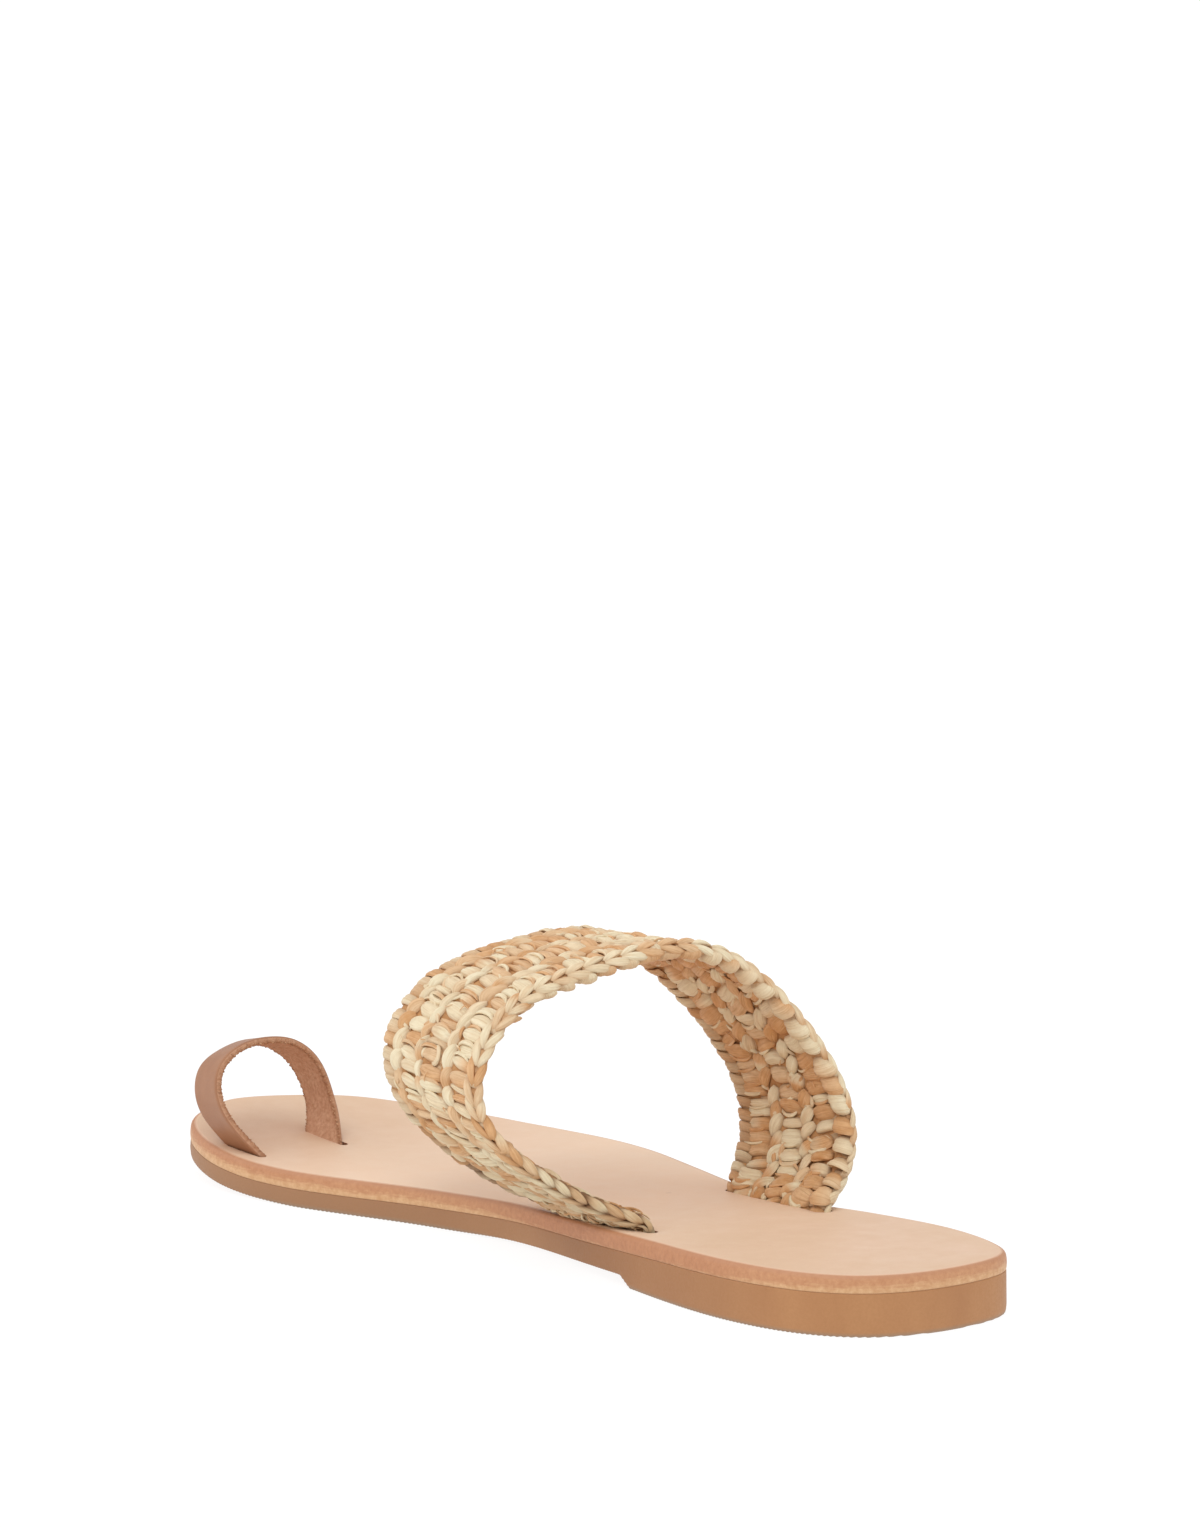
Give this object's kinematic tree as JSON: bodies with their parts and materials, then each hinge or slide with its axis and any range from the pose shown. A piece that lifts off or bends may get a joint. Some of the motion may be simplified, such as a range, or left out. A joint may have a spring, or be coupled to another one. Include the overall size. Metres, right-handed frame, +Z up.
{
  "type": "toe loop sandal",
  "caption": "Flat right sandal with a leather footbed on a moulded low-heeled sole, a crocheted raffia band over the instep and a leather loop for the big toe.",
  "frame": {"origin": "middle of the sandal's bounding box on the floor", "axes": "+Y from heel to toe, +X to the lateral (outer) side, +Z up"},
  "size_m": [0.0924, 0.25, 0.0701],
  "materials": {
    "sole_rubber": "matt tan moulded rubber with a fine ribbed bottom edge",
    "footbed_leather": "smooth pale vegetable-tanned leather with a burnished cut edge",
    "raffia": "crocheted raffia ribbon in mixed cream and tan",
    "loop_leather": "smooth brown leather outside, raw flesh side inside"
  },
  "bodies": {
    "root": {"outsole": "sole_rubber", "footbed": "footbed_leather", "instep_band": "raffia", "toe_loop": "loop_leather"}
  },
  "joints": []
}
